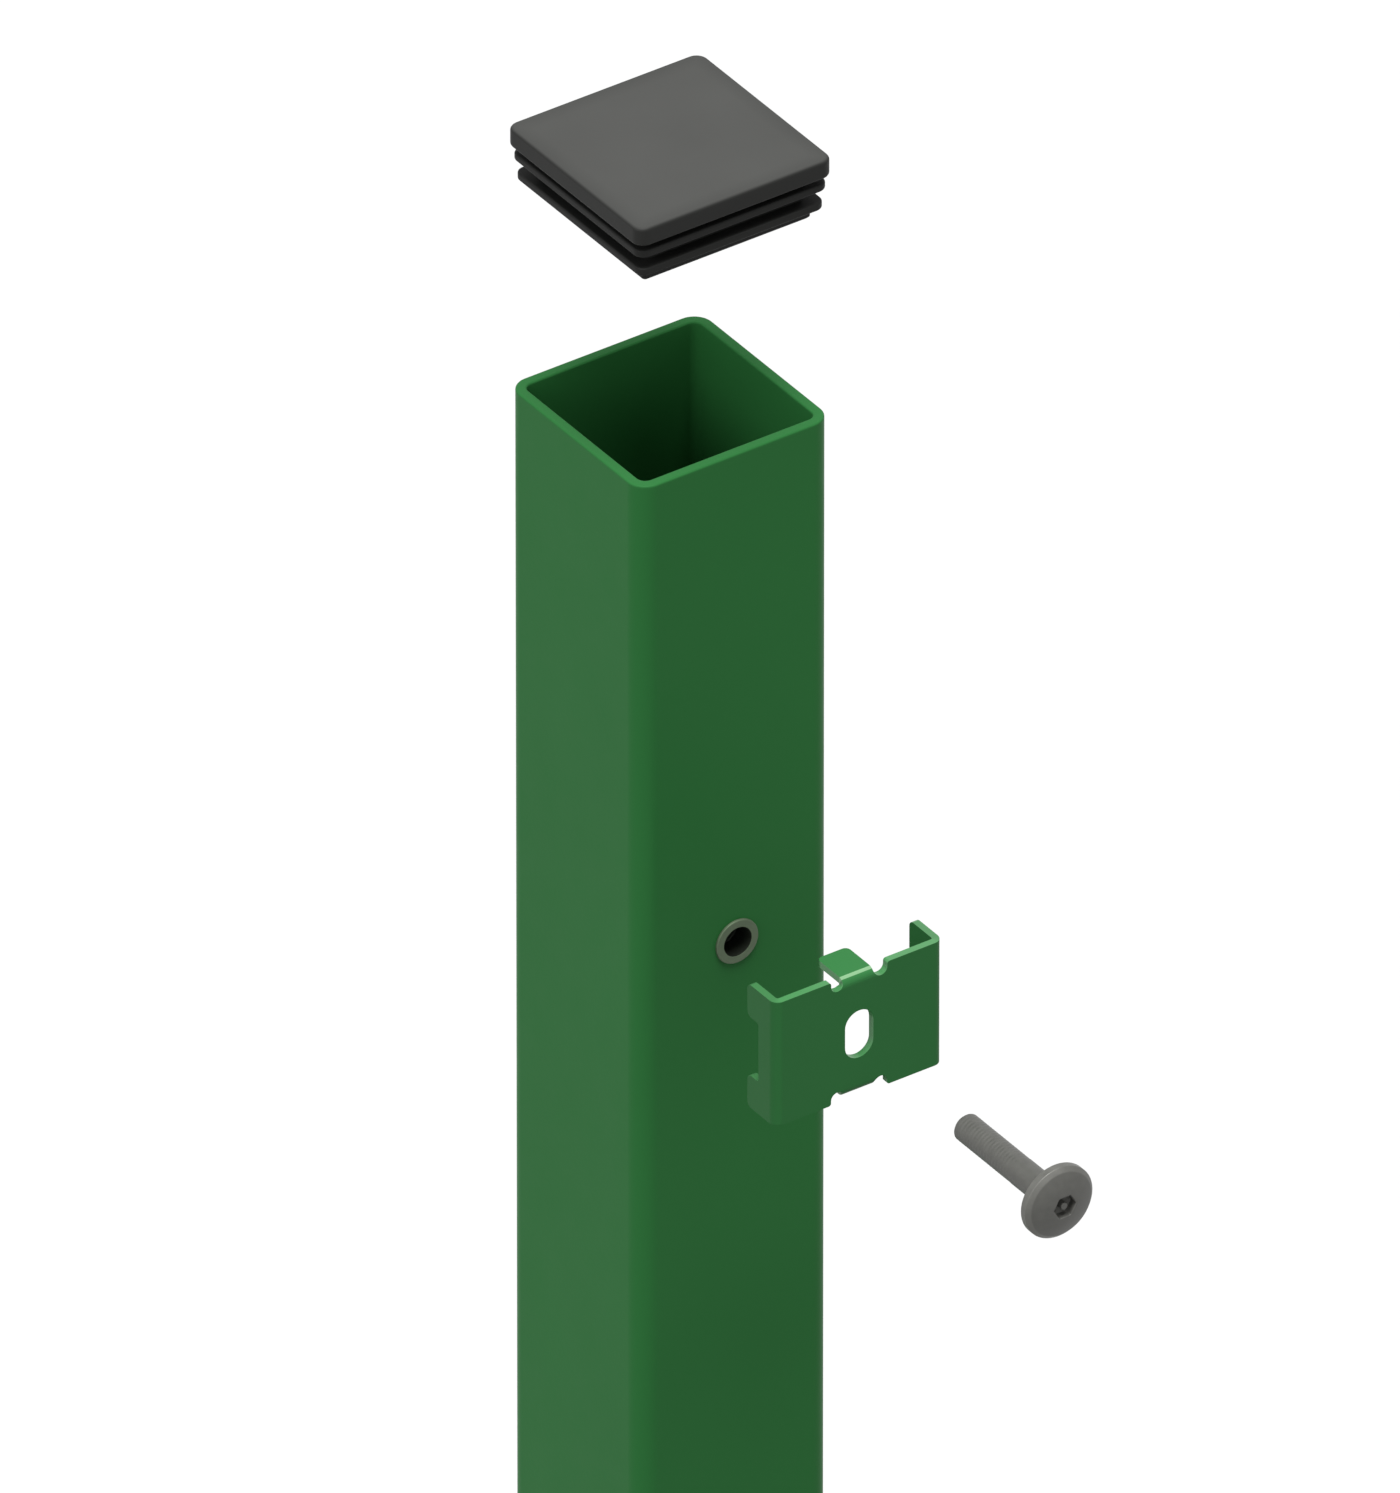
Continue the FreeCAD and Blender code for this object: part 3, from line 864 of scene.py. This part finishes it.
@dataclass
class EndCap:
    """Moulded insert: soft-edged flange over a hollow plug with two fins and a guide land."""

    base_z: float = 1560.5  # of the plug's lower end
    flange_under: float = 13.5  # the flange's underside, above base_z
    top: float = 19.0  # above base_z
    profile: tuple[Triple, ...] = (  # half width, height above base_z and edge radius
        (0.0, 19.0, 0.0),
        (30.2, 19.0, 0.9),
        (30.2, 13.5, 0.9),
        (24.8, 13.5, 0.3),
        (24.8, 11.6, 0.3),
        (29.35, 11.6, 0.6),
        (29.35, 9.6, 0.6),
        (27.85, 8.7, 0.3),
        (24.8, 8.7, 0.3),
        (24.8, 5.6, 0.3),
        (28.7, 5.6, 0.5),
        (28.7, 3.6, 0.6),
        (27.2, 2.7, 0.2),
        (24.8, 2.7, 0.2),
        (24.8, 2.0, 0.15),
        (26.0, 2.0, 0.25),
        (26.0, 0.6, 0.2),
        (25.5, 0.0, 0.15),
        (22.6, 0.0, 0.3),
        (22.6, 16.4, 0.6),
        (0.0, 16.4, 0.0),
    )
    top_rows: tuple[float, ...] = (0.0, 6.0, 14.0, 22.0, 25.0, 27.0)  # half widths
    ceiling_rows: int = 4  # how many of them also cross the hollow's ceiling
    corner_widths: tuple[float, ...] = (0.0, 20.0, 24.8, 25.4, 26.0, 27.2, 28.7, 30.2)  # half widths
    corner_radii: tuple[float, ...] = (0.0, 1.6, 2.0, 0.9, 0.9, 1.4, 2.7, 3.2)  # at each of those
    corner_steps: int = 10
    flat_shares: tuple[float, ...] = (0.2, 0.6, 0.97, 1.0)  # of half a flat, where points stand
    side_painted_shade: float = 0.42  # painted shade on the flange's sides
    # painted shade on the plug and its fins, under the flange
    plug_painted_shade: float = 0.28
    rim_painted_shade: float = 0.86  # painted shade at the rim of the top, darker towards its edges
    painted_rim_shade_band: tuple[float, float] = (25.0, 29.3)  # half widths between which that painted shade deepens

    def build(self, plastic: MouldedPlastic) -> None:
        """Carry the section round the rounded square.

        Each row of the section is a square outline of that half width, with a corner radius read
        from the half width. Rows across the top and the hollow's ceiling run in to the middle.

        Args:
            plastic: Finish.
        """
        path = rounded_path(self.profile, False, 5)
        top = paired(self.top_rows, path[0, 1])
        ceiling = paired(self.top_rows[:self.ceiling_rows][::-1], path[-1, 1])
        widths, heights = np.concatenate([top, path[1:-1], ceiling]).T
        corner = np.interp(widths, self.corner_widths, self.corner_radii)
        flats = mirrored(self.flat_shares)
        loops = square_loops(widths - corner, corner, self.base_z + heights, flats, self.corner_steps)
        points, faces = welded([grid_skin(loops, False, True)])
        # Painted shade: the flange's sides and the plug are darker than the top, and the top darkens towards
        # its rim.
        levels = (self.flange_under - 0.2, self.flange_under, self.top - 0.3, self.top - 0.001)
        shades = (self.plug_painted_shade, self.side_painted_shade, self.side_painted_shade, 1.0)
        shade = np.interp(points[:, 2] - self.base_z, levels, shades)
        from_middle = np.abs(points[:, :2]).max(axis=1)
        shade *= np.interp(from_middle, self.painted_rim_shade_band, (1.0, self.rim_painted_shade))
        piece = add_piece("end_cap_skin", points, faces, plastic.material(), shade)
        hand_over(piece, "end_cap")


@dataclass
class FixingClip:
    """Folded sheet clip: slotted plate, side flanges with ears, and a tab at top and bottom."""

    front_y: float = -85.5  # of the plate's front
    middle_z: float = 1352.0  # of the plate's middle
    half_width: float = 26.25  # over the flanges
    half_height: float = 19.0  # of the plate
    depth: float = 12.5  # depth of the ears behind the plate's front
    sheet: float = 2.0  # thickness
    edge_round: float = 0.35  # width of the soft edges
    edge_angle: float = 50.0  # least angle of an edge that is softened, in degrees
    bend_r: float = 2.6
    bend_steps: int = 8
    slot_half: float = 4.4  # of its width
    slot_reach: float = 7.25  # half of its length
    ear_height: float = 10.0
    ear_reach: float = 5.0  # how far the ears stand behind the flange between them
    ear_round: float = 1.8  # of the ears' corners
    recess_round: float = 0.9  # in the corners between the ears
    tab_half: float = 4.75  # of the tabs' width
    tab_drop: float = 0.8  # how far the tabs' faces lie inside the plate's edge
    tab_reach: float = 12.4  # depth of the tabs behind the plate's front
    tab_round: float = 1.6  # of the tabs' corners
    relief: float = 4.0  # width of the reliefs beside the tabs
    relief_round: float = 0.7  # where a relief meets the plate's edge
    crest: tuple[float, float] = (0.5, 0.85)  # shares of a tab's bend that carry a painted highlight
    flange_painted_shade: float = 0.80  # painted shade on the side flanges

    @property
    def bend_length(self) -> float:
        """Length of a bend, measured on the outside."""
        return 0.5 * math.pi * self.bend_r

    @property
    def side_line(self) -> float:
        """Where the side bends start, from the plate's middle."""
        return self.half_width - self.bend_r

    @property
    def tab_line(self) -> float:
        """Where the tabs' bends start, from the plate's middle."""
        return self.half_height - self.tab_drop - self.bend_r

    def blank(self) -> tuple[Array, Array]:
        """Outline the flat sheet before it is folded.

        One quarter of the edge is listed from the tab's end to the recess between the ears, and
        mirrored into the other three. Round ends stop just short of a half circle, so that each
        of their two corners keeps an arc of its own.

        Returns:
            The outlines of its edge and of its slot.
        """
        tab_end = self.tab_line + self.bend_length + self.tab_reach - self.bend_r
        ear_end = self.side_line + self.bend_length + self.depth - self.bend_r
        recess = ear_end - self.ear_reach
        ear_low = self.half_height - self.ear_height
        far = self.tab_half + self.relief
        relief_end = 0.499 * self.relief
        quarter = [
            (self.tab_half, tab_end, self.tab_round),
            (self.tab_half, self.tab_line, relief_end),
            (far, self.tab_line, relief_end),
            (far, self.half_height, self.relief_round),
            (ear_end, self.half_height, self.ear_round),
            (ear_end, ear_low, self.ear_round),
            (recess, ear_low, self.recess_round),
        ]
        right = quarter + [(x, -z, r) for x, z, r in reversed(quarter)]
        edge = right + [(-x, z, r) for x, z, r in reversed(right)]
        slot = [
            (x * self.slot_half, z * self.slot_reach, 0.999 * self.slot_half)
            for x, z in ((1, 1), (1, -1), (-1, -1), (-1, 1))
        ]
        return rounded_path(edge, True, 6), rounded_path(slot, True, 10)

    def folded(self, flat: Array) -> Array:
        """Fold points of the flat sheet.

        Past a bend's start a point first runs round the bend, by an angle of its distance past it
        / the bend's radius up to a quarter turn, and then straight back. The tabs fold about a
        level line and the flanges about an upright one.

        Args:
            flat: Points' x and z on the flat sheet, two columns.

        Returns:
            The points on the clip's outside, three columns.
        """
        x, z = flat[:, 0], flat[:, 1]
        on_tab = np.abs(x) < self.tab_half + 0.5 * self.relief

        def bent(along: Array, line: float, active: Array) -> tuple[Array, Array]:
            """Bend the active points where they lie along the sheet past a line.

            Args:
                along: Each point's place across the line.
                line: Where the bend starts, on both sides of the middle.
                active: Which points bend here.

            Returns:
                Where each point ends up along the sheet, and how far back.
            """
            past = np.where(active, np.clip(np.abs(along) - line, 0.0, None), 0.0)
            angle = np.minimum(past, self.bend_length) / self.bend_r
            straight = np.clip(past - self.bend_length, 0.0, None)
            kept = np.abs(along) - past + self.bend_r * np.sin(angle)
            return np.sign(along) * kept, self.bend_r * (1.0 - np.cos(angle)) + straight

        new_z, tab_back = bent(z, self.tab_line, on_tab)
        new_x, side_back = bent(x, self.side_line, ~on_tab)
        back = self.front_y + tab_back + side_back
        return np.stack([new_x, back, self.middle_z + new_z], axis=1)

    def sheet_mesh(self) -> tuple[Array, Faces]:
        """Fill the flat outlines with faces, cut them along lines across each bend, and fold.

        Returns:
            The points and faces of the sheet's outside, one open surface.
        """
        flat = bmesh.new()
        for outline in self.blank():
            corners = [flat.verts.new((x, 0.0, z)) for x, z in outline]
            for corner, follower in zip(corners, corners[1:] + corners[:1]):
                flat.edges.new((corner, follower))
        bmesh.ops.triangle_fill(flat, use_beauty=True, edges=flat.edges[:], normal=(0.0, -1.0, 0.0))
        across = np.linspace(0.0, self.bend_length, self.bend_steps + 1)
        lines = ((Vector((1.0, 0.0, 0.0)), self.side_line), (Vector((0.0, 0.0, 1.0)), self.tab_line))
        for normal, line in lines:
            for offset in np.concatenate([line + across, -line - across]):
                everything = flat.verts[:] + flat.edges[:] + flat.faces[:]
                place = normal * float(offset)
                cut = {"plane_co": place, "plane_no": normal, "dist": CUT_SNAP_MM}
                bmesh.ops.bisect_plane(flat, geom=everything, **cut)
        bmesh.ops.remove_doubles(flat, verts=flat.verts[:], dist=MERGE_MM)
        flat.verts.index_update()
        points = np.array([vertex.co[:] for vertex in flat.verts])
        faces = [[vertex.index for vertex in face.verts] for face in flat.faces]
        flat.free()
        a, b, c = (points[[face[k] for face in faces]] for k in range(3))
        facing = np.cross(b - a, c - a)[:, 1].sum()
        if facing > 0.0:
            faces = [face[::-1] for face in faces]
        return self.folded(points[:, [0, 2]]), faces

    def on_painted_fold_highlight(self, points: Array, faces: Faces) -> Array:
        """Find the crest of the tabs' bends, which carries a painted highlight.

        Args:
            points: The folded sheet's points.
            faces: The corner numbers of each face.

        Returns:
            Whether each face is on it.
        """
        middles = np.array([points[face].mean(axis=0) for face in faces])
        back = (middles[:, 1] - self.front_y) / self.bend_r
        high = np.abs(middles[:, 2] - self.middle_z)
        on_tab = (np.abs(middles[:, 0]) < self.tab_half) & (high > self.tab_line)
        return on_tab & (back > self.crest[0]) & (back < self.crest[1])

    def build(self, coat: PowderCoat, edge_coat_and_highlight: ThinCoatAndHighlight, fold_highlight_coat: ThinCoatAndHighlight) -> None:
        """Give the folded sheet its thickness and soft edges, and let it stand for its node.

        Args:
            coat: Finish of the sheet's faces.
            edge_coat_and_highlight: Finish of its cut edges, a thin coat that is paler also as a painted
                highlight.
            fold_highlight_coat: Painted highlight along the tabs' folds.
        """
        points, faces = self.sheet_mesh()
        # Painted shade: the side flanges are darker than the plate.
        turned = (np.abs(points[:, 0]) - self.side_line) / self.bend_r
        shade = np.interp(turned, (0.3, 1.0), (1.0, self.flange_painted_shade))
        piece = add_piece("fixing_clip_skin", points, faces, coat.material(), shade)
        coats = (coat, edge_coat_and_highlight, fold_highlight_coat)
        for extra in coats[1:]:
            piece.data.materials.append(extra.material())
        numbers = np.where(self.on_painted_fold_highlight(points, faces), coats.index(fold_highlight_coat), 0).astype(np.int32)
        piece.data.polygons.foreach_set("material_index", numbers)
        thick = piece.modifiers.new("sheet_thickness", "SOLIDIFY")
        thick.thickness = self.sheet * MM
        thick.offset = -1.0
        thick.use_even_offset = True
        thick.material_offset_rim = coats.index(edge_coat_and_highlight)
        soft = piece.modifiers.new("soft_edges", "BEVEL")
        soft.width = self.edge_round * MM
        soft.segments = 3
        soft.limit_method = "ANGLE"
        soft.angle_limit = math.radians(self.edge_angle)
        soft.use_clamp_overlap = True
        hand_over(piece, "fixing_clip")


# Floor, light and camera


@dataclass(frozen=True)
class Lamp:
    """Large soft lamp, so far away that only its direction counts.

    The length of its aim is its strength, as a share of what lights a facing colour as written.
    """

    name: str
    aim: Triple  # direction to the lamp
    spread: float  # angular size in degrees

    def add(self) -> None:
        """Add the lamp to the scene."""
        aim = Vector(self.aim)
        lamp = bpy.data.lights.new(self.name, "SUN")
        lamp.energy = math.pi * aim.length
        lamp.angle = math.radians(self.spread)
        made = bpy.data.objects.new(self.name, lamp)
        made.rotation_euler = aim.to_track_quat("Z", "Y").to_euler()
        bpy.context.scene.collection.objects.link(made)


@dataclass
class Studio:
    """Plain white studio with soft light from above left, seen from the photo's angle."""

    target: Triple = (0.006431, -0.004302, 1.393357)  # point that the camera looks at, in metres
    azimuth: float = 34.6046  # camera's bearing from -Y towards -X, in degrees
    elevation: float = 33.88  # camera's height above level, in degrees
    span: float = 0.383554  # height of the view at the target, in metres
    lens: float = 1550.0  # lens length in millimetres; long, so that the view is nearly parallel
    sensor: float = 36.0  # along the picture's longer side, in millimetres
    sky: float = 0.55  # strength of the world on matt surfaces
    lamps: tuple[Lamp, ...] = (  # from above and from the left
        Lamp("key_light", (-0.12, -0.19, 1.20), 35.0),
        Lamp("fill_light", (-0.25, -0.03, 0.14), 30.0),
    )
    floor_reach: float = 8000.0  # half the floor's width in millimetres
    floor_colour: float = 0.54  # floor's linear grey to the camera
    floor_bounce: float = 0.14  # floor's linear grey to the light

    def add_camera(self) -> None:
        """Add the camera on the line back from its target and make it the scene's own."""
        level, rise = math.radians(self.azimuth), math.radians(self.elevation)
        back = Vector((
            -math.cos(rise) * math.sin(level),
            -math.cos(rise) * math.cos(level),
            math.sin(rise),
        ))
        distance = self.lens / self.sensor * self.span
        lens = bpy.data.cameras.new("photo_camera")
        lens.lens = self.lens
        lens.sensor_width = self.sensor
        lens.clip_start = 0.05
        lens.clip_end = 4.0 * distance
        camera = bpy.data.objects.new("photo_camera", lens)
        camera.location = Vector(self.target) + back * distance
        camera.rotation_euler = back.to_track_quat("Z", "Y").to_euler()
        bpy.context.scene.collection.objects.link(camera)
        bpy.context.scene.camera = camera

    def add_floor(self) -> None:
        """Add the floor, pale to the camera and greyer to the light that it throws back."""
        tree = ShaderTree(bpy.data.materials.new("studio_floor"))
        low, high = (self.floor_bounce,) * 3, (self.floor_colour,) * 3
        surface = tree.wire("ShaderNodeBsdfPrincipled", None, {
            "Base Color": tree.between(tree.seen_plainly(), low, high),
            "Roughness": 0.9,
            "Specular IOR Level": 0.0,
        })
        tree.finish(surface)
        corners = np.array([(-1.0, -1.0, 0.0), (1.0, -1.0, 0.0), (1.0, 1.0, 0.0), (-1.0, 1.0, 0.0)])
        add_piece("studio_floor", self.floor_reach * corners, [[0, 1, 2, 3]], tree.owner)

    def add_light(self) -> None:
        """Add the sky, which looks white but lights matt surfaces less, and the lamps."""
        world = bpy.data.worlds.new("studio_sky")
        bpy.context.scene.world = world
        tree = ShaderTree(world)
        strength = self.sky + tree.seen_plainly() * (1.0 - self.sky)
        white = (1.0, 1.0, 1.0, 1.0)
        tree.finish(tree.wire("ShaderNodeBackground", None, {"Color": white, "Strength": strength}))
        for lamp in self.lamps:
            lamp.add()

    def build(self) -> None:
        """Add camera, floor and light, and set the plain view transform."""
        bpy.context.scene.view_settings.view_transform = "Standard"
        self.add_camera()
        self.add_floor()
        self.add_light()


def main() -> None:
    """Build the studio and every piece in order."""
    logging.basicConfig(level=logging.INFO, format="%(message)s")
    Studio().build()
    post = PostTube()
    post.build(POST_COAT)
    zinc = NUT_ZINC.material()
    for place, height in zip(("top", "middle", "bottom"), post.hole_heights):
        RivetNut(height).build(f"rivet_nut_{place}", zinc)
    FixingClip().build(CLIP_COAT, EDGE_COAT_AND_HIGHLIGHT, FOLD_HIGHLIGHT_COAT)
    ClipBolt().build(BOLT_ZINC)
    EndCap().build(CAP_PLASTIC)


if __name__ == "__main__":
    main()
